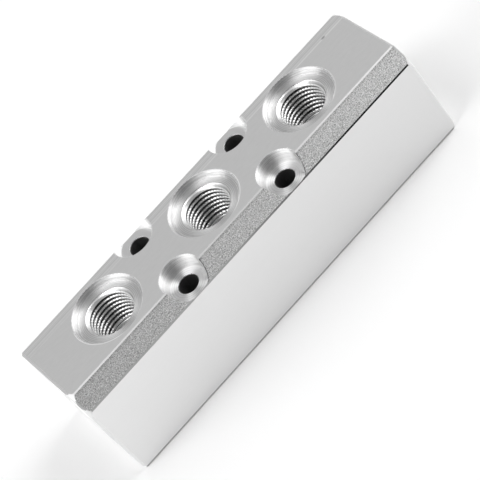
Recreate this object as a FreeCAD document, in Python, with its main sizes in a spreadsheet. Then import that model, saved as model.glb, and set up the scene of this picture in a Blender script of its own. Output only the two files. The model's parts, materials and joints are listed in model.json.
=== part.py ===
import FreeCAD, Part
import Sketcher
import math
import os
import sys

from FreeCAD import Vector

# Air manifold block, one piece cut from a square aluminium bar. A gallery runs from end to end,
# with a threaded inlet in each end face and a row of threaded outlets in the top. Four
# counterbored screw holes stand between the outlets and break out through the cut corners.
# Frame: X along the bar, Y across it, Z up. The origin is the middle of the underside.

doc = FreeCAD.newDocument("air_manifold_block")
sheet = doc.addObject("Spreadsheet::Sheet", "Sizes")

# Driving dimensions, in millimetres and, for drillPoint, degrees
drivingSizes = [
    ("blockWidth", "30"),
    ("blockHeight", "30"),
    ("cornerCut", "4"),
    ("firstOutletInset", "21"),
    ("lastOutletInset", "23"),
    ("outletPitch", "33"),
    ("outletCount", "3"),
    ("seatDiameter", "18.8"),
    ("seatDepth", "1.4"),
    ("outletCore", "11.5"),
    ("outletCountersink", "0.85"),
    ("galleryDiameter", "11"),
    ("inletCore", "15"),
    ("inletCountersink", "1"),
    ("inletWeb", "1"),
    ("drillPoint", "118"),
    ("pocketDiameter", "11"),
    ("pocketCorner", "0.5"),
    ("screwHoleDiameter", "5.3"),
    ("screwSpacing", "20.5"),
    ("endBreak", "0.55"),
    ("longBreak", "0.25"),
    ("rimBreak", "0.15"),
]

# Sizes that follow from them. In the outlets and pockets heights count down from the top face,
# and in the inlets places along the bar count from its middle.
derivedSizes = [
    ("blockLength", "=firstOutletInset + outletPitch * (outletCount - 1) + lastOutletInset"),
    ("farEnd", "=blockLength / 2"),
    ("rightSide", "=blockWidth / 2"),
    ("leftSide", "=-rightSide"),
    ("galleryHeight", "=blockHeight / 2"),
    ("firstOutletPlace", "=firstOutletInset - farEnd"),
    ("rimFoot", "=-rimBreak"),
    ("seatRadius", "=seatDiameter / 2"),
    ("seatRim", "=seatRadius + rimBreak"),
    ("seatFloorEdge", "=seatRadius - (seatDepth - rimBreak)"),
    ("seatFloor", "=-seatDepth"),
    ("outletCoreRadius", "=outletCore / 2"),
    ("outletMouthRadius", "=outletCoreRadius + outletCountersink"),
    ("outletMouthFoot", "=seatFloor - outletCountersink"),
    ("outletBoreFoot", "=galleryHeight - blockHeight"),
    ("outletBoreTip", "=outletBoreFoot - outletCoreRadius / tan(drillPoint / 2 * 1 deg)"),
    ("inletCoreRadius", "=inletCore / 2"),
    ("inletMouthRadius", "=inletCoreRadius + inletCountersink"),
    ("inletMouthFoot", "=farEnd - inletCountersink"),
    ("galleryRadius", "=galleryDiameter / 2"),
    ("nearestOutlet", "=min(firstOutletInset, lastOutletInset) - outletCoreRadius"),
    ("inletPointFoot", "=farEnd - nearestOutlet + inletWeb"),
    ("inletBoreFoot", "=inletPointFoot + (inletCoreRadius - galleryRadius) / tan(drillPoint / 2 * 1 deg)"),
    ("inletBoreTip", "=inletPointFoot - galleryRadius / tan(drillPoint / 2 * 1 deg)"),
    ("firstPocketPlace", "=firstOutletPlace + outletPitch / 2"),
    ("halfScrewSpacing", "=screwSpacing / 2"),
    ("pocketRadius", "=pocketDiameter / 2"),
    ("pocketRim", "=pocketRadius + rimBreak"),
    ("pocketFloor", "=-cornerCut"),
    ("pocketWallFoot", "=pocketFloor + pocketCorner"),
    ("pocketFloorEdge", "=pocketRadius - pocketCorner"),
    ("holeRadius", "=screwHoleDiameter / 2"),
    ("holeRim", "=holeRadius + rimBreak"),
    ("holeMouthFoot", "=pocketFloor - rimBreak"),
    ("underside", "=-blockHeight"),
    ("holeExitHead", "=underside + rimBreak"),
]

for row, (alias, content) in enumerate(drivingSizes + derivedSizes, start=1):
    sheet.set(f"A{row}", alias)
    sheet.set(f"B{row}", content)
    sheet.setAlias(f"B{row}", alias)
doc.recompute()


def size(alias):
    return float(sheet.get(alias))


body = doc.addObject("PartDesign::Body", "ManifoldBlock")
body.Label = "manifold_block"
body.Placement = FreeCAD.Placement(Vector(0, 0, 0), FreeCAD.Rotation())
origin = {feature.Role: feature for feature in body.Origin.OriginFeatures}


# A sketch on one of the body's own planes, its origin shifted by the sizes named
def planeSketch(name, plane, shifts):
    sketch = body.newObject("Sketcher::SketchObject", name)
    sketch.AttachmentSupport = [(origin[plane], "")]
    sketch.MapMode = "FlatFace"
    for direction, alias in shifts.items():
        sketch.setExpression(f"AttachmentOffset.Base.{direction}", f"Sizes.{alias}")
    return sketch


# A closed outline through corners that are pairs of size names, None standing for zero. A side
# whose ends share a name is held upright or level, and what is left free gets a dimension. Each
# corner numbered in hollows starts a quarter round, centred straight above the next corner.
def drawOutline(sketch, corners, hollows=()):
    count = len(corners)
    places = [Vector(*[size(alias) if alias else 0 for alias in pair], 0) for pair in corners]
    for index in range(count):
        start = places[index]
        end = places[(index + 1) % count]
        if index in hollows:
            circle = Part.Circle(Vector(end.x, start.y, 0), Vector(0, 0, 1), start.x - end.x)
            sketch.addGeometry(Part.ArcOfCircle(circle, -math.pi / 2, 0), False)
        else:
            sketch.addGeometry(Part.LineSegment(start, end), False)
    begin = [(index, 2 if index in hollows else 1) for index in range(count)]
    finish = [(index, 1 if index in hollows else 2) for index in range(count)]
    for index in range(count):
        meeting = finish[index] + begin[(index + 1) % count]
        sketch.addConstraint(Sketcher.Constraint("Coincident", *meeting))
    for index in hollows:
        sketch.addConstraint(Sketcher.Constraint("Vertical", index, 3, *finish[index]))
    rules = (("Vertical", "DistanceX", -2), ("Horizontal", "DistanceY", -1))
    for axis, (holding, distance, axisLine) in enumerate(rules):
        held = set()
        for index in range(count):
            following = (index + 1) % count
            if index not in hollows and corners[index][axis] == corners[following][axis]:
                sketch.addConstraint(Sketcher.Constraint(holding, index))
                held.add(following)
        for index in sorted(set(range(count)) - held):
            alias = corners[index][axis]
            if alias:
                place = Sketcher.Constraint(distance, -1, 1, *begin[index], size(alias))
                number = sketch.addConstraint(place)
                sketch.setExpression(f"Constraints[{number}]", f"Sizes.{alias}")
            else:
                place = Sketcher.Constraint("PointOnObject", *begin[index], axisLine)
                sketch.addConstraint(place)
    doc.recompute()


# A full turn of a sketch about its own upright or level axis, cut away from the bar
def turnedCut(name, sketch, axis):
    groove = body.newObject("PartDesign::Groove", name)
    groove.Profile = sketch
    groove.ReferenceAxis = (sketch, [axis])
    groove.Angle = 360
    doc.recompute()
    return groove


# A chamfer on those edges of a feature that pass the test given
def chamferWhere(name, feature, test, alias):
    edges = enumerate(feature.Shape.Edges, start=1)
    chamfer = body.newObject("PartDesign::Chamfer", name)
    chamfer.Base = (feature, [f"Edge{number}" for number, edge in edges if test(edge)])
    chamfer.setExpression("Size", f"Sizes.{alias}")
    doc.recompute()
    return chamfer


def runsAlong(edge):
    return edge.BoundBox.XLength > size("blockLength") / 2


def runsAlongTop(edge):
    return runsAlong(edge) and edge.BoundBox.Center.z > size("galleryHeight")


def isAtAnEnd(edge):
    return edge.BoundBox.XLength < size("endBreak")


# The bar, with its two upper corners cut at 45 degrees and every edge broken
section = planeSketch("Section", "YZ_Plane", {})
sectionCorners = [
    ("leftSide", None),
    ("rightSide", None),
    ("rightSide", "blockHeight"),
    ("leftSide", "blockHeight"),
]
drawOutline(section, sectionCorners)

bar = body.newObject("PartDesign::Pad", "Bar")
bar.Profile = section
bar.SideType = "Symmetric"
bar.setExpression("Length", "Sizes.blockLength")
doc.recompute()

cutCorners = chamferWhere("CutCorners", bar, runsAlongTop, "cornerCut")
brokenEnds = chamferWhere("BrokenEnds", cutCorners, isAtAnEnd, "endBreak")
brokenEdges = chamferWhere("BrokenEdges", brokenEnds, runsAlong, "longBreak")

# The gallery, drilled from end to end at mid height
galleryCircle = planeSketch("GalleryCircle", "YZ_Plane", {"y": "galleryHeight"})
galleryCircle.addGeometry(Part.Circle(Vector(), Vector(0, 0, 1), size("galleryDiameter") / 2))
galleryCircle.addConstraint(Sketcher.Constraint("Coincident", 0, 3, -1, 1))
bore = Sketcher.Constraint("Diameter", 0, size("galleryDiameter"))
galleryCircle.addConstraint(bore)
galleryCircle.setExpression("Constraints[1]", "Sizes.galleryDiameter")

gallery = body.newObject("PartDesign::Pocket", "Gallery")
gallery.Profile = galleryCircle
gallery.Type = "ThroughAll"
gallery.SideType = "Symmetric"
doc.recompute()

# The inlets: a countersunk mouth and a drilled core in each end face, on the gallery's axis. The
# drill's point runs out into the gallery a web's width short of the nearest outlet's bore.
inletOutline = planeSketch("InletOutline", "XZ_Plane", {"y": "galleryHeight"})
inletCorners = [
    ("farEnd", None),
    ("farEnd", "inletMouthRadius"),
    ("inletMouthFoot", "inletCoreRadius"),
    ("inletBoreFoot", "inletCoreRadius"),
    ("inletBoreTip", None),
]
drawOutline(inletOutline, inletCorners)
farInlet = turnedCut("FarInlet", inletOutline, "H_Axis")

bothInlets = body.newObject("PartDesign::Mirrored", "BothInlets")
bothInlets.Originals = [farInlet]
bothInlets.MirrorPlane = (origin["YZ_Plane"], [""])
body.Tip = bothInlets
doc.recompute()

# The outlets: a round seat with a hollow wall, a countersunk mouth and a core drilled down to
# the gallery
outletOutline = planeSketch("OutletOutline", "XZ_Plane", {"x": "firstOutletPlace", "y": "blockHeight"})
outletCorners = [
    (None, None),
    ("seatRim", None),
    ("seatRadius", "rimFoot"),
    ("seatFloorEdge", "seatFloor"),
    ("outletMouthRadius", "seatFloor"),
    ("outletCoreRadius", "outletMouthFoot"),
    ("outletCoreRadius", "outletBoreFoot"),
    (None, "outletBoreTip"),
]
drawOutline(outletOutline, outletCorners, hollows=[2])
firstOutlet = turnedCut("FirstOutlet", outletOutline, "V_Axis")

outletRow = body.newObject("PartDesign::LinearPattern", "OutletRow")
outletRow.Originals = [firstOutlet]
outletRow.Direction = (origin["X_Axis"], [""])
outletRow.Mode = "Spacing"
outletRow.setExpression("Offset", "Sizes.outletPitch")
outletRow.setExpression("Occurrences", "Sizes.outletCount")
body.Tip = outletRow
doc.recompute()

# The screw holes: a flat pocket whose floor is level with the lower edge of the cut corner, and
# a clearance hole down through the bar
screwOutline = planeSketch(
    "ScrewOutline",
    "XZ_Plane",
    {"x": "firstPocketPlace", "y": "blockHeight", "z": "halfScrewSpacing"},
)
screwCorners = [
    (None, None),
    ("pocketRim", None),
    ("pocketRadius", "rimFoot"),
    ("pocketRadius", "pocketWallFoot"),
    ("pocketFloorEdge", "pocketFloor"),
    ("holeRim", "pocketFloor"),
    ("holeRadius", "holeMouthFoot"),
    ("holeRadius", "holeExitHead"),
    ("holeRim", "underside"),
    (None, "underside"),
]
drawOutline(screwOutline, screwCorners)
firstScrewHole = turnedCut("FirstScrewHole", screwOutline, "V_Axis")

alongBar = body.newObject("PartDesign::LinearPattern", "AlongBar")
alongBar.Direction = (origin["X_Axis"], [""])
alongBar.Mode = "Spacing"
alongBar.setExpression("Offset", "Sizes.outletPitch")
alongBar.setExpression("Occurrences", "Sizes.outletCount - 1")
acrossBar = body.newObject("PartDesign::Mirrored", "AcrossBar")
acrossBar.MirrorPlane = (origin["XZ_Plane"], [""])
screwHoles = body.newObject("PartDesign::MultiTransform", "ScrewHoles")
screwHoles.Originals = [firstScrewHole]
screwHoles.Transformations = [alongBar, acrossBar]
body.Tip = screwHoles
doc.recompute()

# Nothing is written unless every feature is sound and every opening has been cut
faults = [item.Name for item in doc.Objects if {"Invalid", "Error"} & set(item.State)]
shape = body.Shape
if faults or shape.isNull() or not shape.isValid() or len(shape.Solids) != 1:
    sys.exit(f"manifold_block failed: {faults}")

os.makedirs("parts", exist_ok=True)
shape.exportStep(os.path.join("parts", f"{body.Label}.step"))
box = shape.optimalBoundingBox(False)
print(f"{body.Label}: {shape.Volume:.1f} mm3, {len(shape.Faces)} faces")
print(f"box {box.XMin:.2f} {box.YMin:.2f} {box.ZMin:.2f} to {box.XMax:.2f} {box.YMax:.2f} {box.ZMax:.2f}")
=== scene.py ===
import json
import math

import bmesh
import bpy
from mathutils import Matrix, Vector


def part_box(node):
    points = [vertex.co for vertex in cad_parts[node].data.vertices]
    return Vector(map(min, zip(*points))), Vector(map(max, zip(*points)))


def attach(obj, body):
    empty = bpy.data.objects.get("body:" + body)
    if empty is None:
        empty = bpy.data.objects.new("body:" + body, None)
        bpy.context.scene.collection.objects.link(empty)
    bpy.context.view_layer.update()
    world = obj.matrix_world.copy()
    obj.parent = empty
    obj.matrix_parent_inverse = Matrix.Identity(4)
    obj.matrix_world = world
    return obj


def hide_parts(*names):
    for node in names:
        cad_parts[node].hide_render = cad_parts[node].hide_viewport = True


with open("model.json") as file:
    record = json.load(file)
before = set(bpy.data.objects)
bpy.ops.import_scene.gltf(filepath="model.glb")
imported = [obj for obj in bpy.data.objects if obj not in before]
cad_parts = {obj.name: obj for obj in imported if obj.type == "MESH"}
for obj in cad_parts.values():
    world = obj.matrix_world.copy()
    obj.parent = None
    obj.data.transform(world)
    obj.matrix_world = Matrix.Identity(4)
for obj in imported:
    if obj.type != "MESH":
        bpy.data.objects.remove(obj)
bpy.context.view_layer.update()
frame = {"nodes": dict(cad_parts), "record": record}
mm = 0.001
mergeDistance = 1e-6
noiseMiddle = 0.5
nodeName = "manifold_block"
mounts = {mount["name"]: mount for mount in frame["record"]["mounts"]}
outlets = [mounts[name] for name in ("outlet_1", "outlet_2", "outlet_3")]
screwHoles = mounts["screw_holes"]
blockLow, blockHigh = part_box(nodeName)
print("frame loaded")


# Shader building blocks

def link(tree, source, target):
    tree.links.new(source, target)


def mathNode(tree, operation, first, second=None, third=None):
    node = tree.nodes.new("ShaderNodeMath")
    node.operation = operation
    for socket, value in zip(node.inputs, (first, second, third)):
        if value is None:
            continue
        if isinstance(value, (int, float)):
            socket.default_value = value
        else:
            link(tree, value, socket)
    return node.outputs[0]


def vectorNode(tree, operation, *values):
    node = tree.nodes.new("ShaderNodeVectorMath")
    node.operation = operation
    for socket, value in zip(node.inputs, values):
        if isinstance(value, (tuple, Vector)):
            socket.default_value = value
        else:
            link(tree, value, socket)
    return node.outputs["Value" if operation in ("LENGTH", "DOT_PRODUCT") else "Vector"]


def mapRange(tree, value, low, high, newLow, newHigh):
    node = tree.nodes.new("ShaderNodeMapRange")
    link(tree, value, node.inputs["Value"])
    ends = {"From Min": low, "From Max": high, "To Min": newLow, "To Max": newHigh}
    for name, number in ends.items():
        if isinstance(number, (int, float)):
            node.inputs[name].default_value = number
        else:
            link(tree, number, node.inputs[name])
    return node.outputs["Result"]


def noiseNode(tree, vector, scale, detail=2.0, roughness=0.5, dimensions="3D"):
    node = tree.nodes.new("ShaderNodeTexNoise")
    node.noise_dimensions = dimensions
    if dimensions == "1D":
        link(tree, vector, node.inputs["W"])
    else:
        link(tree, vector, node.inputs["Vector"])
    for name, value in (("Scale", scale), ("Detail", detail), ("Roughness", roughness)):
        if isinstance(value, (int, float)):
            node.inputs[name].default_value = value
        else:
            link(tree, value, node.inputs[name])
    return node.outputs[0]


def newGroup(name, inputs, outputs):
    group = bpy.data.node_groups.new(name, "ShaderNodeTree")
    for label, kind, value in inputs:
        socket = group.interface.new_socket(label, in_out="INPUT", socket_type=kind)
        if value is not None:
            socket.default_value = value
    for label, kind in outputs:
        group.interface.new_socket(label, in_out="OUTPUT", socket_type=kind)
    return group, group.nodes.new("NodeGroupInput"), group.nodes.new("NodeGroupOutput")


def placeGroup(tree, group, **values):
    node = tree.nodes.new("ShaderNodeGroup")
    node.node_tree = group
    for label, value in values.items():
        node.inputs[label].default_value = value
    return node


def newMetal(name, settings):
    material = bpy.data.materials.new(name)
    material.use_nodes = True
    tree = material.node_tree
    shader = tree.nodes["Principled BSDF"]
    shader.inputs["Base Color"].default_value = (*settings["color"], 1)
    shader.inputs["Metallic"].default_value = settings.get("metallic", 1.0)
    shader.inputs["Roughness"].default_value = settings["roughness"]
    shader.inputs["Anisotropic"].default_value = settings.get("anisotropy", 0.0)
    shader.inputs["Anisotropic Rotation"].default_value = settings.get("acrossGrain", 0.0)
    material.diffuse_color = (*settings["color"], 1)
    coords = tree.nodes.new("ShaderNodeTexCoord").outputs["Object"]
    return material, tree, shader, coords


# A colour that a tone around 1 makes lighter or darker
def tint(tree, shader, color, tone):
    combine = tree.nodes.new("ShaderNodeCombineXYZ")
    for socket, part in zip(combine.inputs, color):
        socket.default_value = part
    link(tree, vectorNode(tree, "MULTIPLY", combine.outputs[0], tone), shader.inputs["Base Color"])


# From the nearest axis of a row of holes, turned a quarter: the way the tool travelled there, as long
# as the radius.
def aroundHole(tree, position, first, spacing, count, side):
    split = tree.nodes.new("ShaderNodeSeparateXYZ")
    link(tree, position, split.inputs[0])
    along = mathNode(tree, "SUBTRACT", split.outputs[0], first)
    number = mathNode(tree, "ROUND", mathNode(tree, "DIVIDE", along, spacing))
    last = mathNode(tree, "SUBTRACT", count, 1.0)
    number = mathNode(tree, "MAXIMUM", mathNode(tree, "MINIMUM", number, last), 0.0)
    awayX = mathNode(tree, "SUBTRACT", along, mathNode(tree, "MULTIPLY", number, spacing))
    nearSide = mathNode(tree, "MULTIPLY", mathNode(tree, "SIGN", split.outputs[1]), side)
    awayY = mathNode(tree, "SUBTRACT", split.outputs[1], nearSide)
    combine = tree.nodes.new("ShaderNodeCombineXYZ")
    link(tree, mathNode(tree, "MULTIPLY", awayY, -1.0), combine.inputs[0])
    link(tree, awayX, combine.inputs[1])
    return combine.outputs[0]


# Turning marks: rings round the nearest axis of a row of holes. Places are in metres.

ringNoise = {
    "detail": 3.0,
    "roughness": 0.6,
    "span": (0.3, 0.7),  # the part of the noise that the tones of the rings come from
    "wobbleScale": 90.0,
    "wobbleDetail": 1.0,
    "wobbleReach": 0.0002,
}


def makeTurningMarks():
    group, given, out = newGroup(
        "turningMarks",
        [
            ("Position", "NodeSocketVector", None),
            ("First", "NodeSocketFloat", 0.0),
            ("Spacing", "NodeSocketFloat", 0.033),
            ("Count", "NodeSocketFloat", 3.0),
            ("Side", "NodeSocketFloat", 0.0),
            ("Ring Scale", "NodeSocketFloat", 4000.0),
            ("Seed", "NodeSocketFloat", 0.0),
        ],
        [("Rings", "NodeSocketFloat"), ("Radius", "NodeSocketFloat")],
    )
    tree = group
    split = tree.nodes.new("ShaderNodeSeparateXYZ")
    link(tree, given.outputs["Position"], split.inputs[0])
    row = [given.outputs[label] for label in ("First", "Spacing", "Count", "Side")]
    radius = vectorNode(tree, "LENGTH", aroundHole(tree, given.outputs["Position"], *row))
    link(tree, radius, out.inputs["Radius"])
    # the wall's rings go on with height, so the distance travelled by the tool is radius less height
    travelled = mathNode(tree, "SUBTRACT", radius, split.outputs[2])
    shifted = mathNode(tree, "ADD", travelled, given.outputs["Seed"])
    wobble = noiseNode(
        tree, given.outputs["Position"], ringNoise["wobbleScale"], ringNoise["wobbleDetail"]
    )
    shifted = mathNode(
        tree, "ADD", shifted, mathNode(tree, "MULTIPLY", wobble, ringNoise["wobbleReach"])
    )
    rings = noiseNode(
        tree, shifted, given.outputs["Ring Scale"], ringNoise["detail"], ringNoise["roughness"], "1D"
    )
    link(tree, rings, out.inputs["Rings"])
    return group


# Grain: a sandy height and tone for blasted metal, finer or coarser by its scale

grainNoise = {"detail": 3.0, "roughness": 0.65}


def makeGrain():
    group, given, out = newGroup(
        "grain",
        [
            ("Position", "NodeSocketVector", None),
            ("Scale", "NodeSocketFloat", 2500.0),
            ("Contrast", "NodeSocketFloat", 0.3),
        ],
        [("Height", "NodeSocketFloat"), ("Tone", "NodeSocketFloat")],
    )
    tree = group
    height = noiseNode(
        tree,
        given.outputs["Position"],
        given.outputs["Scale"],
        grainNoise["detail"],
        grainNoise["roughness"],
    )
    link(tree, height, out.inputs["Height"])
    centred = mathNode(tree, "SUBTRACT", height, noiseMiddle)
    tone = mathNode(tree, "MULTIPLY_ADD", centred, given.outputs["Contrast"], 1.0)
    link(tree, tone, out.inputs["Tone"])
    return group


turningMarks = makeTurningMarks()
grain = makeGrain()


def bump(tree, shader, height, strength, distance):
    node = tree.nodes.new("ShaderNodeBump")
    node.inputs["Strength"].default_value = strength
    node.inputs["Distance"].default_value = distance
    link(tree, height, node.inputs["Height"])
    link(tree, node.outputs[0], shader.inputs["Normal"])


# A tone that changes steadily along one axis after another
def changing(tree, coords, tone, changes):
    split = tree.nodes.new("ShaderNodeSeparateXYZ")
    link(tree, coords, split.inputs[0])
    for axis, start, end, startTone, endTone in changes:
        factor = mapRange(tree, split.outputs[axis], start, end, startTone, endTone)
        tone = mathNode(tree, "MULTIPLY", factor, tone)
    return tone


# A thin painted line round the rim of each hole in a row, over a part of the turn: a positive tone is
# a painted highlight, a negative tone painted shade

rimFade = 0.1  # how softly the line ends, as a cosine


def paintedRimLine(tree, coords, tone, row, line):
    around = aroundHole(tree, coords, row["first"], row["spacing"], row["count"], row["side"])
    offLine = mathNode(tree, "SUBTRACT", vectorNode(tree, "LENGTH", around), line["radius"])
    away = mathNode(tree, "ABSOLUTE", offLine)
    shape = mapRange(tree, away, line["width"] / 4, line["width"] / 2, line["tone"], 0.0)
    middle = math.radians(line["middle"])
    lookedFor = (-math.sin(middle), math.cos(middle), 0.0)
    facing = vectorNode(tree, "DOT_PRODUCT", vectorNode(tree, "NORMALIZE", around), lookedFor)
    edge = math.cos(math.radians(line["sweep"] / 2))
    part = mapRange(tree, facing, edge - rimFade, edge + rimFade, 0.0, 1.0)
    return mathNode(tree, "MULTIPLY_ADD", shape, part, tone)


# The marks on the top: a scribed line along the back with rubbed streaks behind it, a nick in the
# line and a speck
def wornTop(tree, coords, tone, marks):
    split = tree.nodes.new("ShaderNodeSeparateXYZ")
    link(tree, coords, split.inputs[0])
    fromLine = mathNode(tree, "SUBTRACT", split.outputs[1], marks["linePlace"])
    fromLine = mathNode(tree, "ABSOLUTE", fromLine)
    line = mapRange(tree, fromLine, 0.0, marks["lineWidth"], 1.0, 0.0)
    strength = mapRange(tree, split.outputs[0], *marks["lineSpan"], 0.0, marks["lineTone"])
    added = mathNode(tree, "MULTIPLY", line, strength)
    streaks = noiseNode(tree, split.outputs[1], *marks["streakNoise"], "1D")
    rubbed = mathNode(tree, "SUBTRACT", streaks, noiseMiddle)
    start = marks["linePlace"] - marks["streakReach"]
    behind = mapRange(tree, split.outputs[1], start, marks["linePlace"], 0.0, marks["streakTone"])
    added = mathNode(tree, "MULTIPLY_ADD", rubbed, behind, added)
    for spot, reach, depth in marks["spots"]:
        away = vectorNode(tree, "SUBTRACT", coords, spot)
        near = vectorNode(tree, "LENGTH", vectorNode(tree, "DIVIDE", away, reach))
        spotTone = mapRange(tree, near, marks["spotCore"], 1.0, depth, 0.0)
        added = mathNode(tree, "ADD", added, spotTone)
    return mathNode(tree, "ADD", tone, added)


def grainyMetal(name, settings):
    material, tree, shader, coords = newMetal(name, settings)
    stretch = tree.nodes.new("ShaderNodeMapping")
    stretch.inputs["Scale"].default_value = settings.get("stretch", (1, 1, 1))
    link(tree, coords, stretch.inputs["Vector"])
    speckle = placeGroup(tree, grain, Scale=settings["grainScale"], Contrast=settings["contrast"])
    link(tree, stretch.outputs[0], speckle.inputs["Position"])
    tone = speckle.outputs["Tone"]
    if "change" in settings:
        tone = changing(tree, coords, tone, settings["change"])
    if "marks" in settings:
        tone = wornTop(tree, coords, tone, settings["marks"])
    for row, line in settings.get("rims", []):
        tone = paintedRimLine(tree, coords, tone, row, line)
    tint(tree, shader, settings["color"], tone)
    bump(tree, shader, speckle.outputs["Height"], settings["bumpStrength"], settings["bumpDepth"])
    return material


def turnedMetal(name, settings):
    material, tree, shader, coords = newMetal(name, settings)
    marks = placeGroup(
        tree,
        turningMarks,
        First=settings["first"],
        Spacing=settings["spacing"],
        Count=settings["count"],
        Side=settings["side"],
        Seed=settings["seed"],
    )
    marks.inputs["Ring Scale"].default_value = settings["ringScale"]
    link(tree, coords, marks.inputs["Position"])
    around = aroundHole(
        tree, coords, settings["first"], settings["spacing"], settings["count"], settings["side"]
    )
    link(tree, vectorNode(tree, "NORMALIZE", around), shader.inputs["Tangent"])
    low, high = 1 - settings["contrast"], 1 + settings["contrast"]
    tone = mapRange(tree, marks.outputs["Rings"], *ringNoise["span"], low, high)
    # Painted shade in the thread's grooves: from the crest radius to the root radius the colour
    # darkens, more so below the height down to which light reaches the thread
    if "crest" in settings:
        split = tree.nodes.new("ShaderNodeSeparateXYZ")
        link(tree, coords, split.inputs[0])
        shadeBelowLit = mapRange(
            tree, split.outputs[2], settings["lit"], settings["shaded"], 1.0, settings["paintedRootShade"]
        )
        rootShade = mapRange(
            tree, marks.outputs["Radius"], settings["crest"], settings["root"], 1.0, shadeBelowLit
        )
        tone = mathNode(tree, "MULTIPLY", tone, rootShade)
    for row, line in settings.get("rims", []):
        tone = paintedRimLine(tree, coords, tone, row, line)
    tint(tree, shader, settings["color"], tone)
    depth = settings["bumpDepth"] * settings["bumpStrength"]
    height = mathNode(tree, "MULTIPLY", marks.outputs["Rings"], depth)
    if "dish" in settings:  # a slope that grows outwards
        start, end = settings["dishFrom"], settings["dishTo"]
        beyond = mathNode(tree, "SUBTRACT", marks.outputs["Radius"], start)
        beyond = mathNode(tree, "MAXIMUM", beyond, 0.0)
        steepness = settings["dish"] / (end - start) / 2
        raised = mathNode(tree, "MULTIPLY", mathNode(tree, "POWER", beyond, 2.0), steepness)
        height = mathNode(tree, "ADD", height, raised)
    bump(tree, shader, height, 1.0, 1.0)
    return material


def plainMetal(name, settings):
    return newMetal(name, settings)[0]


# A long edge, whose tone changes along the block
def edgeMetal(name, settings):
    material, tree, shader, coords = newMetal(name, settings)
    tint(tree, shader, settings["color"], changing(tree, coords, 1.0, settings["change"]))
    return material


# The finishes. A list of changes holds axis, start, end and the tones there

topMarks = {
    "linePlace": 7.9 * mm,
    "lineWidth": 0.3 * mm,
    "lineSpan": (-50 * mm, 50 * mm),
    "lineTone": 0.22,
    "streakTone": 0.7,
    "streakNoise": (2500.0, 2.0, 0.6),  # scale, detail, roughness
    "streakReach": 1 * mm,  # the streaks are at full strength past the line, and fade in before it
    "spotCore": 0.4,  # the part of a spot's reach over which it is at full depth
    # place, half width along each axis, change of tone
    "spots": [
        ((47.8 * mm, 8.0 * mm, 30 * mm), (0.8 * mm, 0.4 * mm, 1.0), -0.5),
        ((20.8 * mm, -8.2 * mm, 30 * mm), (0.4 * mm, 0.3 * mm, 1.0), 0.3),
    ],
}
outletRow = {
    "first": outlets[0]["pos_m"][0],
    "spacing": outlets[1]["pos_m"][0] - outlets[0]["pos_m"][0],
    "count": len(outlets),
    "side": 0.0,
}
pocketRow = {
    "first": screwHoles["pos_m"][0] - screwHoles["dims"]["spacing_x_mm"] * mm / 2,
    "spacing": screwHoles["dims"]["spacing_x_mm"] * mm,
    "count": 2,
    "side": screwHoles["dims"]["spacing_y_mm"] * mm / 2,
}

# The radius and width of the painted highlight on each seat's rim
seatRimHighlight = {"radius": 9.6 * mm, "width": 0.4 * mm}
# A painted highlight along each seat's rim. The part of the turn over which it is painted differs from
# outlet to outlet
seatRimHighlights = [
    ({**outletRow, "first": outlet["pos_m"][0], "count": 1}, {**seatRimHighlight, **shine})
    for outlet, shine in zip(outlets, (
        {"tone": 0.5, "middle": 212, "sweep": 85},
        {"tone": 0.5, "middle": 325, "sweep": 65},
        {"tone": 0.2, "middle": 330, "sweep": 40},
    ))
]
# Painted shade outside the front pockets' rims, and painted highlights inside them, round the screw
# holes and over a broad sector of each front pocket's floor
pocketRimShade = {"radius": 5.6 * mm, "width": 0.35 * mm, "tone": -0.6, "middle": 345, "sweep": 80}
pocketShine = {"radius": 5.42 * mm, "width": 0.45 * mm, "tone": 0.45, "middle": 340, "sweep": 80}
pocketSectorHighlight = {"radius": 4.3 * mm, "width": 6.0 * mm, "tone": 0.22, "middle": 5, "sweep": 80}
holeRimHighlight = {"radius": 2.75 * mm, "width": 0.4 * mm, "tone": 0.3, "middle": 45, "sweep": 360}
pocketFloorHighlights = [(pocketRow, line) for line in (holeRimHighlight, pocketShine, pocketSectorHighlight)]
turned = {"anisotropy": 1.0, "acrossGrain": 0.25}  # spread across the rings that the tool leaves
# Painted shading on the blasted band: lighter towards the far end, and painted shade just below the
# top edge
paintedBandShading = [(0, blockLow[0], blockHigh[0], 1.0, 1.3), (2, 29.35 * mm, 29.6 * mm, 1.0, 0.85)]
# Painted highlight along the top edge: strong at both ends, weakest in the middle of the block
topEdgeTone = [(0, blockLow[0], 0.0, 0.75, 0.55), (0, 0.0, blockHigh[0], 1.0, 1.5)]
# The band's end edges carry the same painted gradient as the band, lighter towards the far end
paintedBandEndShading = [(0, blockLow[0], blockHigh[0], 0.30, 0.38)]
# Painted shade along the edge between the band and the side, darkening to near black towards the far
# end
paintedSideEdgeShade = [(0, -12 * mm, 30 * mm, 0.5, 0.01)]
# Painted shading on the side: lighter towards the near end, darker towards the bottom, and a painted
# contact shadow just above the foot
paintedSideShading = [
    (0, blockLow[0], blockHigh[0], 1.04, 0.98),
    (2, 0.0, 26 * mm, 0.98, 1.02),
    (2, 0.3 * mm, 0.6 * mm, 0.5, 1.0),
]
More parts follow.
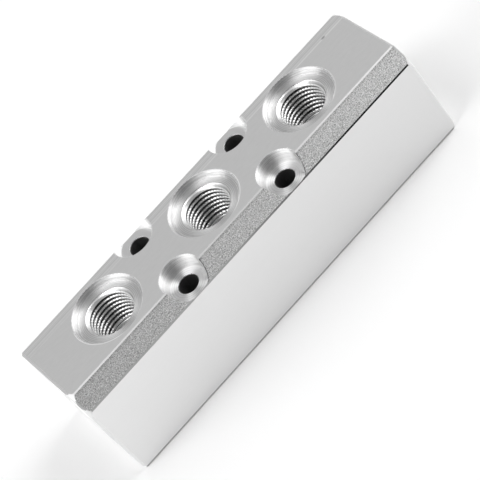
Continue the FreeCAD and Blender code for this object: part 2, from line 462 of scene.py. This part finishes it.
finishes = {
    "paleSide": (grainyMetal, {
        "color": (0.80, 0.80, 0.80), "roughness": 0.5, "stretch": (0.1, 1, 1), "grainScale": 1500.0,
        # The side's colour carries painted shading and a painted contact shadow
        "contrast": 0.02, "bumpStrength": 0.05, "bumpDepth": 0.00002, "change": paintedSideShading,
    }),
    "milledTop": (grainyMetal, {
        "color": (0.75, 0.75, 0.75), "roughness": 0.42, "stretch": (0.3, 1, 1), "grainScale": 1200.0,
        "contrast": 0.1, "bumpStrength": 0.06, "bumpDepth": 0.00002, "marks": topMarks,
        # The top's colour carries the seats' painted rim highlights
        "rims": seatRimHighlights,
    }),
    "blastedCorner": (grainyMetal, {
        "color": (0.54, 0.54, 0.54), "roughness": 0.6, "grainScale": 4200.0, "contrast": 3.2,
        # The band's colour carries painted shading and painted shade outside the pocket rims
        "bumpStrength": 0.6, "bumpDepth": 0.0001, "change": paintedBandShading, "rims": [(pocketRow, pocketRimShade)],
    }),
    "milledEnd": (grainyMetal, {
        "color": (0.76, 0.76, 0.76), "roughness": 0.4, "stretch": (1, 0.2, 1), "grainScale": 2500.0,
        "contrast": 0.05, "bumpStrength": 0.1, "bumpDepth": 0.00002,
    }),
    "brightEdge": (plainMetal, {
        "color": (0.76, 0.76, 0.76), "metallic": 0.2, "roughness": 0.5,
    }),
    "endEdge": (plainMetal, {
        "color": (0.41, 0.41, 0.41), "metallic": 0.2, "roughness": 0.5,
    }),
    "bandEndEdge": (edgeMetal, {
        "color": (1, 1, 1), "metallic": 0.2, "roughness": 0.5, "change": paintedBandEndShading,
    }),
    # The top edge's colour is a painted highlight
    "topEdge": (edgeMetal, {
        "color": (1, 1, 1), "metallic": 0.2, "roughness": 0.5, "change": topEdgeTone,
    }),
    # The side edge's colour is painted shade
    "shadedSideEdge": (edgeMetal, {
        "color": (1, 1, 1), "metallic": 0.6, "roughness": 0.5, "change": paintedSideEdgeShade,
    }),
    # Painted shade: the bottom chamfers are darkened into a dark line along the foot
    "shadedFootEdge": (plainMetal, {
        "color": (0.35, 0.35, 0.35), "roughness": 0.5,
    }),
    "turnedSeatWall": (turnedMetal, {
        "color": (1.0, 1.0, 1.0), "roughness": 0.6, "ringScale": 5000.0, "contrast": 0.3,
        "bumpStrength": 0.1, "bumpDepth": 0.00002, "seed": 0.1, **turned, **outletRow,
    }),
    "seatFloor": (turnedMetal, {
        "color": (0.69, 0.69, 0.69), "roughness": 0.5, "ringScale": 5000.0, "contrast": 0.2,
        "bumpStrength": 0.05, "bumpDepth": 0.00002, "seed": 0.2, "dish": 0.45, "dishFrom": 6.8 * mm,
        "dishTo": 8.15 * mm, "anisotropy": 0.85, "acrossGrain": 0.25, **outletRow,
    }),
    "pocketFloor": (turnedMetal, {
        "color": (0.88, 0.88, 0.88), "roughness": 0.5, "ringScale": 5000.0, "contrast": 0.2,
        "bumpStrength": 0.1, "bumpDepth": 0.00002, "seed": 0.6, "dish": 0.45, "dishFrom": 0.0,
        # The floor's colour carries painted highlights round the hole, inside the rim and over a
        # sector
        "dishTo": 5.5 * mm, "anisotropy": 0.9, "acrossGrain": 0.25, "rims": pocketFloorHighlights,
        **pocketRow,
    }),
    "backPocketFloor": (plainMetal, {
        "color": (0.72, 0.72, 0.72), "roughness": 0.45,
    }),
    "turnedPocket": (turnedMetal, {
        "color": (1.0, 1.0, 1.0), "roughness": 0.6, "ringScale": 4700.0, "contrast": 0.35,
        # The wall's colour carries a painted highlight inside the rim
        "bumpStrength": 0.1, "bumpDepth": 0.00002, "seed": 0.3, "rims": [(pocketRow, pocketShine)],
        **turned, **pocketRow,
    }),
    "mouthCone": (turnedMetal, {
        "color": (0.72, 0.72, 0.72), "metallic": 0.9, "roughness": 0.45, "ringScale": 5000.0,
        "contrast": 0.1, "bumpStrength": 0.05, "bumpDepth": 0.00002, "seed": 0.7, "anisotropy": 0.6,
        "acrossGrain": 0.25, **outletRow,
    }),
    "boreMetal": (turnedMetal, {
        "color": (1.0, 1.0, 1.0), "metallic": 0.3, "roughness": 0.5, "ringScale": 6000.0,
        "contrast": 0.05, "bumpStrength": 0.05, "bumpDepth": 0.00002, "seed": 0.4, **turned,
        **outletRow,
    }),
    # Painted shade: the walls of the deep screw holes are darkened
    "shadedDrilledHole": (plainMetal, {
        "color": (0.3, 0.3, 0.3), "roughness": 0.5,
    }),
    # The thread's colour carries painted shade in its grooves
    "threadCut": (turnedMetal, {
        "color": (1.0, 1.0, 1.0), "metallic": 1.0, "roughness": 0.35, "ringScale": 6000.0,
        "contrast": 0.05, "bumpStrength": 0.05, "bumpDepth": 0.00002, "seed": 0.5, "crest": 5.9 * mm,
        "root": 6.1 * mm, "paintedRootShade": 0.24, "lit": 28.2 * mm, "shaded": 27.7 * mm, "anisotropy": 0.4,
        "acrossGrain": 0.25, **outletRow,
    }),
    "inletThread": (plainMetal, {
        "color": (0.7, 0.7, 0.7), "metallic": 0.7, "roughness": 0.45,
    }),
}
materials = {name: make(name, settings) for name, (make, settings) in finishes.items()}
print("materials made")


# The threads: one coil for each port, swept along a spiral, is cut from the block

threads = {
    "outletPitch": 1.337 * mm,
    "outletMajor": 13.157 * mm,
    "outletStart": 29.6 * mm,  # height at which the coil starts, above the countersink
    "outletEnd": 17.463 * mm,  # height at which the tap has run out
    "inletPitch": 1.337 * mm,
    "inletMajor": 16.662 * mm,
    "inletStart": 0.6 * mm,  # past the end face
    "inletEnd": 11.6 * mm,  # depth at which the tap has run out
    "rootFlat": 0.2 * mm,
    "flankAngle": 27.5,
    "reach": 0.3 * mm,  # how far the coil's foot stands inside the core
    "stepsPerTurn": 48,
}


def threadTree():
    tree = bpy.data.node_groups.new("cutThreads", "GeometryNodeTree")
    for label, value in (
        ("Pitch", 0.001337),
        ("Major Radius", 0.0066),
        ("Core Radius", 0.00575),
        ("Root Flat", 0.0002),
        ("Flank Slope", 0.52),
        ("Reach", 0.0003),
        ("Length", 0.010),
        ("Run Out", 0.001),
        ("Spacing", 0.033),
    ):
        socket = tree.interface.new_socket(label, in_out="INPUT", socket_type="NodeSocketFloat")
        socket.default_value = value
    for label, value in (("Steps Per Turn", 48), ("Ports", 1)):
        socket = tree.interface.new_socket(label, in_out="INPUT", socket_type="NodeSocketInt")
        socket.default_value = value
    for label in ("Mouth", "Turn"):
        tree.interface.new_socket(label, in_out="INPUT", socket_type="NodeSocketVector")
    tree.interface.new_socket("Material", in_out="INPUT", socket_type="NodeSocketMaterial")
    tree.interface.new_socket("Geometry", in_out="OUTPUT", socket_type="NodeSocketGeometry")
    given = tree.nodes.new("NodeGroupInput")
    out = tree.nodes.new("NodeGroupOutput")

    turns = mathNode(tree, "DIVIDE", given.outputs["Length"], given.outputs["Pitch"])
    spiral = tree.nodes.new("GeometryNodeCurveSpiral")
    link(tree, given.outputs["Steps Per Turn"], spiral.inputs["Resolution"])
    link(tree, turns, spiral.inputs["Rotations"])
    link(tree, given.outputs["Core Radius"], spiral.inputs["Start Radius"])
    link(tree, given.outputs["Core Radius"], spiral.inputs["End Radius"])
    link(tree, given.outputs["Length"], spiral.inputs["Height"])
    spiral.inputs["Reverse"].default_value = True  # right-handed

    # The spiral starts at the bottom. Its first stretch draws in, so that the groove runs out
    parameter = tree.nodes.new("GeometryNodeSplineParameter")
    depth = mathNode(tree, "SUBTRACT", given.outputs["Major Radius"], given.outputs["Core Radius"])
    drawIn = tree.nodes.new("ShaderNodeMapRange")
    drawIn.clamp = True
    link(tree, parameter.outputs["Length"], drawIn.inputs["Value"])
    link(tree, given.outputs["Run Out"], drawIn.inputs["From Max"])
    link(tree, mathNode(tree, "MULTIPLY", depth, -1.0), drawIn.inputs["To Min"])
    drawIn.inputs["To Max"].default_value = 0.0
    position = tree.nodes.new("GeometryNodeInputPosition")
    flat = vectorNode(tree, "MULTIPLY", position.outputs[0], (1, 1, 0))
    outward = vectorNode(tree, "NORMALIZE", flat)
    scaled = tree.nodes.new("ShaderNodeVectorMath")
    scaled.operation = "SCALE"
    link(tree, outward, scaled.inputs[0])
    link(tree, drawIn.outputs["Result"], scaled.inputs["Scale"])
    shifted = tree.nodes.new("GeometryNodeSetPosition")
    link(tree, spiral.outputs[0], shifted.inputs["Geometry"])
    link(tree, scaled.outputs[0], shifted.inputs["Offset"])
    upright = tree.nodes.new("GeometryNodeSetCurveNormal")
    upright.mode = "Z_UP"
    link(tree, shifted.outputs[0], upright.inputs["Curve"])

    # The groove's outline: a foot inside the core, two flanks and a narrow root
    slope = mathNode(tree, "MULTIPLY", depth, given.outputs["Flank Slope"])
    halfRoot = mathNode(tree, "DIVIDE", given.outputs["Root Flat"], 2.0)
    halfFoot = mathNode(tree, "ADD", slope, halfRoot)
    footIn = mathNode(tree, "MULTIPLY", given.outputs["Reach"], -1.0)
    lower = [(footIn, halfFoot, -1), (0.0, halfFoot, -1), (depth, halfRoot, -1)]
    corners = lower + [(radial, half, 1) for radial, half, sign in reversed(lower)]
    outline = tree.nodes.new("GeometryNodeCurvePrimitiveCircle")
    outline.mode = "RADIUS"
    outline.inputs["Resolution"].default_value = len(corners)
    index = tree.nodes.new("GeometryNodeInputIndex")
    switch = tree.nodes.new("GeometryNodeIndexSwitch")
    switch.data_type = "VECTOR"
    while len(switch.index_switch_items) < len(corners):
        switch.index_switch_items.new()
    link(tree, index.outputs[0], switch.inputs["Index"])
    for number, (radial, half, sign) in enumerate(corners):
        place = tree.nodes.new("ShaderNodeCombineXYZ")
        if isinstance(radial, float):
            place.inputs[0].default_value = radial
        else:
            link(tree, radial, place.inputs[0])
        link(tree, mathNode(tree, "MULTIPLY", half, float(sign)), place.inputs[1])
        link(tree, place.outputs[0], switch.inputs[1 + number])
    profile = tree.nodes.new("GeometryNodeSetPosition")
    link(tree, outline.outputs["Curve"], profile.inputs["Geometry"])
    link(tree, switch.outputs[0], profile.inputs["Position"])

    sweep = tree.nodes.new("GeometryNodeCurveToMesh")
    sweep.inputs["Fill Caps"].default_value = True
    link(tree, upright.outputs[0], sweep.inputs["Curve"])
    link(tree, profile.outputs[0], sweep.inputs["Profile Curve"])

    row = tree.nodes.new("GeometryNodeMeshLine")
    row.mode = "OFFSET"
    link(tree, given.outputs["Ports"], row.inputs["Count"])
    step = tree.nodes.new("ShaderNodeCombineXYZ")
    link(tree, given.outputs["Spacing"], step.inputs[0])
    link(tree, step.outputs[0], row.inputs["Offset"])
    link(tree, given.outputs["Mouth"], row.inputs["Start Location"])
    placed = tree.nodes.new("GeometryNodeInstanceOnPoints")
    link(tree, row.outputs[0], placed.inputs["Points"])
    link(tree, sweep.outputs[0], placed.inputs["Instance"])
    link(tree, given.outputs["Turn"], placed.inputs["Rotation"])
    coils = tree.nodes.new("GeometryNodeRealizeInstances")
    link(tree, placed.outputs[0], coils.inputs[0])

    colored = tree.nodes.new("GeometryNodeSetMaterial")
    link(tree, coils.outputs[0], colored.inputs["Geometry"])
    link(tree, given.outputs["Material"], colored.inputs["Material"])
    link(tree, colored.outputs[0], out.inputs["Geometry"])
    return tree


def makeCoils(name, tree, values):
    coil = bpy.data.objects.new(name, bpy.data.meshes.new(name))
    bpy.context.collection.objects.link(coil)
    modifier = coil.modifiers.new("coils", "NODES")
    modifier.node_group = tree
    for socket in tree.interface.items_tree:
        if socket.in_out == "INPUT" and socket.name in values:
            modifier[socket.identifier] = values[socket.name]
    evaluated = coil.evaluated_get(bpy.context.evaluated_depsgraph_get())
    coilMesh = bpy.data.meshes.new_from_object(evaluated)
    coil.modifiers.clear()
    coil.data = coilMesh
    return coil


cadNode = frame["nodes"][nodeName]
blockMesh = cadNode.data.copy()
work = bmesh.new()
work.from_mesh(blockMesh)
bmesh.ops.remove_doubles(work, verts=work.verts, dist=mergeDistance)
work.to_mesh(blockMesh)
work.free()
blockMesh.materials.clear()
block = bpy.data.objects.new("threadedBlock", blockMesh)
bpy.context.collection.objects.link(block)
for material in materials.values():
    blockMesh.materials.append(material)
slots = {name: number for number, name in enumerate(materials)}

tree = threadTree()
shared = {
    "Flank Slope": math.tan(math.radians(threads["flankAngle"])),
    "Root Flat": threads["rootFlat"],
    "Reach": threads["reach"],
    "Steps Per Turn": threads["stepsPerTurn"],
}
coreRadius = outlets[0]["dims"]["r_mm"] * mm
inlets = [mounts[name] for name in ("inlet_a", "inlet_b")]
cutters = [makeCoils("outletCoils", tree, {
    **shared,
    "Material": materials["threadCut"],
    "Pitch": threads["outletPitch"],
    "Major Radius": threads["outletMajor"] / 2,
    "Core Radius": coreRadius,
    "Length": threads["outletStart"] - threads["outletEnd"],
    "Run Out": math.pi * threads["outletMajor"] / 2,
    "Ports": len(outlets),
    "Spacing": outletRow["spacing"],
    "Mouth": (outletRow["first"], 0.0, threads["outletEnd"]),
    "Turn": (0.0, 0.0, 0.0),
})]
for inlet in inlets:
    way = inlet["axis"][0]
    face = blockHigh[0] if way > 0 else blockLow[0]
    cutters.append(makeCoils(inlet["name"] + "Coil", tree, {
        **shared,
        "Material": materials["inletThread"],
        "Pitch": threads["inletPitch"],
        "Major Radius": threads["inletMajor"] / 2,
        "Core Radius": inlet["dims"]["r_mm"] * mm,
        "Length": threads["inletStart"] + threads["inletEnd"],
        "Run Out": math.pi * threads["inletMajor"] / 2,
        "Ports": 1,
        "Spacing": 0.0,
        "Mouth": (face - way * threads["inletEnd"], 0.0, inlet["pos_m"][2]),
        "Turn": (0.0, way * math.pi / 2, 0.0),
    }))
for cutter in cutters:
    cut = block.modifiers.new(cutter.name, "BOOLEAN")
    cut.operation = "DIFFERENCE"
    cut.solver = "EXACT"
    cut.material_mode = "TRANSFER"
    cut.object = cutter
evaluatedBlock = block.evaluated_get(bpy.context.evaluated_depsgraph_get())
cutMesh = bpy.data.meshes.new_from_object(evaluatedBlock)
block.modifiers.clear()
block.data = cutMesh
for cutter in cutters:
    bpy.data.objects.remove(cutter)
print("threads cut:", len(cutMesh.polygons), "faces")


# The corners of both ends are filed round, each with a few small flats

filing = {
    "cornerCut": 4.0 * mm,
    "flats": [(25.0, 0.8), (45.0, 1.0), (65.0, 0.8)],  # tilt, share of the depth
    "leans": {"top": 67.5, "cut": 22.5, "foot": -45.0},  # which way each corner points
    # end, side, corner of the section, depth from the sharp corner
    "corners": [
        (-1, -1, "top", 0.75 * mm),
        (1, 1, "top", 0.85 * mm),
        (-1, -1, "cut", 0.7 * mm),
        (1, -1, "cut", 0.7 * mm),
        (-1, 1, "cut", 0.5 * mm),
        (1, 1, "cut", 0.6 * mm),
        (-1, -1, "foot", 0.6 * mm),
        (1, -1, "foot", 0.75 * mm),
        (-1, 1, "foot", 0.6 * mm),
        (1, 1, "foot", 0.6 * mm),
    ],
}


def fileCorners(mesh):
    rounded = bmesh.new()
    rounded.from_mesh(mesh)
    half, top, cut = blockHigh[1], blockHigh[2], filing["cornerCut"]
    sections = {"top": (half - cut, top), "cut": (half, top - cut), "foot": (half, blockLow[2])}
    for end, side, corner, depth in filing["corners"]:
        y, z = sections[corner]
        lean = math.radians(filing["leans"][corner])
        outward = Vector((0, side * math.cos(lean), math.sin(lean)))
        for tilt, share in filing["flats"]:
            angle = math.radians(tilt)
            normal = Vector((end * math.cos(angle), 0, 0)) + outward * math.sin(angle)
            point = Vector((end * blockHigh[0], side * y, z)) - normal * depth * share
            pieces = rounded.verts[:] + rounded.edges[:] + rounded.faces[:]
            bmesh.ops.bisect_plane(
                rounded, geom=pieces, plane_co=point, plane_no=normal, clear_outer=True
            )
            rim = [edge for edge in rounded.edges if edge.is_boundary]
            bmesh.ops.edgeloop_fill(rounded, edges=rim)
    bmesh.ops.recalc_face_normals(rounded, faces=rounded.faces)
    rounded.to_mesh(mesh)
    rounded.free()


fileCorners(cutMesh)
print("corners filed")


# Each face takes its finish from where it lies on the block

places = {
    "seatReach": 9.7 * mm,
    "seatDepth": 1.4 * mm,
    "mouthReach": 6.7 * mm,
    "pocketReach": 5.8 * mm,
    "pocketDepth": 4.0 * mm,
    "holeReach": 2.9 * mm,
    "inletReach": 8.6 * mm,
    "cornerCut": 4.2 * mm,
    "endReach": 0.6 * mm,
    "faceTolerance": 0.05 * mm,
    # parts of a face's normal: how nearly it looks along an axis, or how far up
    "squareOn": 0.95,
    "leaning": 0.1,
    "chamferUp": 0.15,
    "coneUp": 0.5,
    "bandUp": 0.6,
    "topEdgeUp": 0.8,
    "smoothAngle": 15.0,
}


def finishOf(center, normal):
    top = blockHigh[2]
    near, leaning = places["faceTolerance"], places["leaning"]
    pocketFoot = top - places["pocketDepth"] - near
    seatFoot = top - places["seatDepth"] - near
    x, y, z = center
    along = min(abs(x - outlet["pos_m"][0]) for outlet in outlets)
    fromOutlet = math.hypot(along, y)
    fromScrew = min(
        math.hypot(x - pocketRow["first"] - pocketRow["spacing"] * step, abs(y) - pocketRow["side"])
        for step in range(pocketRow["count"])
    )
    if fromScrew < places["holeReach"] and near < z < pocketFoot:
        return "shadedDrilledHole"
    if fromScrew < places["pocketReach"] and pocketFoot < z < top - near:
        if normal.z > places["squareOn"]:
            return "pocketFloor" if y < 0 else "backPocketFloor"
        return "turnedPocket"
    if fromOutlet < places["mouthReach"] and near < z < seatFoot:
        return "mouthCone" if normal.z > places["coneUp"] else "boreMetal"
    if fromOutlet < places["seatReach"] and seatFoot < z < top - near:
        return "seatFloor" if normal.z > places["squareOn"] else "turnedSeatWall"
    if normal.z > places["squareOn"] and z > top - near:
        return "milledTop"
    if abs(normal.z) > places["squareOn"] or abs(normal.y) > places["squareOn"]:
        return "paleSide" if z > near or normal.z < 0 else "boreMetal"
    if abs(normal.x) > places["squareOn"] and blockHigh[0] - abs(x) < near:
        return "milledEnd"
    if math.hypot(y, z - inlets[0]["pos_m"][2]) < places["inletReach"]:
        return "boreMetal"
    alongBlock = abs(normal.x) < leaning
    atEnd = abs(x) > blockHigh[0] - places["endReach"]
    if atEnd and not alongBlock and normal.z > places["chamferUp"]:
        if abs(normal.y) < leaning:
            return "endEdge"
        if abs(abs(normal.y) - normal.z) < leaning:
            return "bandEndEdge"
    if alongBlock and normal.z < -leaning and z < places["endReach"]:
        return "shadedFootEdge"
    if alongBlock and abs(y) > blockHigh[1] - places["cornerCut"] - 2 * near and z > top / 2:
        if abs(normal.y) > places["bandUp"] and normal.z > places["bandUp"]:
            return "blastedCorner"
        return "topEdge" if normal.z > places["topEdgeUp"] else "shadedSideEdge"
    return "brightEdge"


for polygon in cutMesh.polygons:
    if polygon.material_index not in (slots["threadCut"], slots["inletThread"]):
        polygon.material_index = slots[finishOf(polygon.center, polygon.normal)]
cutMesh.shade_smooth()
cutMesh.set_sharp_from_angle(angle=math.radians(places["smoothAngle"]))
work = bmesh.new()
work.from_mesh(cutMesh)
for edge in work.edges:  # a change of finish is a crisp line too
    if len({face.material_index for face in edge.link_faces}) > 1:
        edge.smooth = False
work.to_mesh(cutMesh)
work.free()
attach(block, "root")
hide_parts(nodeName)
print("finishes given")


# The stage: a pale floor, soft lamps and a long lens

studio = {
    "floorSize": 6.0,
    "floorColor": (0.95, 0.95, 0.95),
    "floorRoughness": 0.9,
    "roomFront": 0.2,  # the room behind the camera is darker than the room beyond the block
    "roomBack": 0.6,
    "roomSpan": (-0.7, 0.8),
    "lens": 175.2,
    "sensor": 36.0,
    "clipStart": 0.01,
    "cameraPlace": (-0.0611, -0.3890, 0.4004),
    "cameraTurn": (37.34, 28.10, -40.58),
    "lamps": [
        # name, place, size, watts
        ("leftPanel", (-0.9, 0.05, 0.5), (0.9, 1.0), 7.0),
        ("rightPanel", (0.9, 0.05, 0.5), (0.9, 1.0), 6.5),
        ("highLeft", (-0.48, -0.10, 1.2), (0.5, 0.5), 3.5),
        ("highRight", (0.7, -0.05, 1.05), (0.5, 0.5), 3.0),
    ],
}

bpy.ops.mesh.primitive_plane_add(size=studio["floorSize"])
floor = bpy.context.object
floor.name = "floor"
floorMaterial = bpy.data.materials.new("palePaper")
floorMaterial.use_nodes = True
paper = floorMaterial.node_tree.nodes["Principled BSDF"]
paper.inputs["Base Color"].default_value = (*studio["floorColor"], 1)
paper.inputs["Roughness"].default_value = studio["floorRoughness"]
floor.data.materials.append(floorMaterial)

for name, place, extent, watts in studio["lamps"]:
    light = bpy.data.lights.new(name, "AREA")
    light.shape = "RECTANGLE"
    light.size, light.size_y = extent
    light.energy = watts
    lamp = bpy.data.objects.new(name, light)
    lamp.location = place
    aim = Vector(place) if "high" in name else Vector((place[0], 0, 0))
    lamp.rotation_euler = aim.to_track_quat("Z", "Y").to_euler()
    bpy.context.collection.objects.link(lamp)

scene = bpy.context.scene
world = bpy.data.worlds.new("studio")
world.use_nodes = True
scene.world = world
room = world.node_tree
background = room.nodes["Background"]
background.inputs["Color"].default_value = (1, 1, 1, 1)
direction = room.nodes.new("ShaderNodeSeparateXYZ")
link(room, room.nodes.new("ShaderNodeTexCoord").outputs["Generated"], direction.inputs[0])
brightness = mapRange(
    room, direction.outputs[1], *studio["roomSpan"], studio["roomFront"], studio["roomBack"]
)
link(room, brightness, background.inputs["Strength"])

camera = bpy.data.objects.new("camera", bpy.data.cameras.new("camera"))
camera.location = studio["cameraPlace"]
camera.rotation_euler = [math.radians(turn) for turn in studio["cameraTurn"]]
camera.data.lens = studio["lens"]
camera.data.sensor_width = studio["sensor"]
camera.data.clip_start = studio["clipStart"]
bpy.context.collection.objects.link(camera)
scene.camera = camera
scene.view_settings.view_transform = "Standard"
print("stage set")
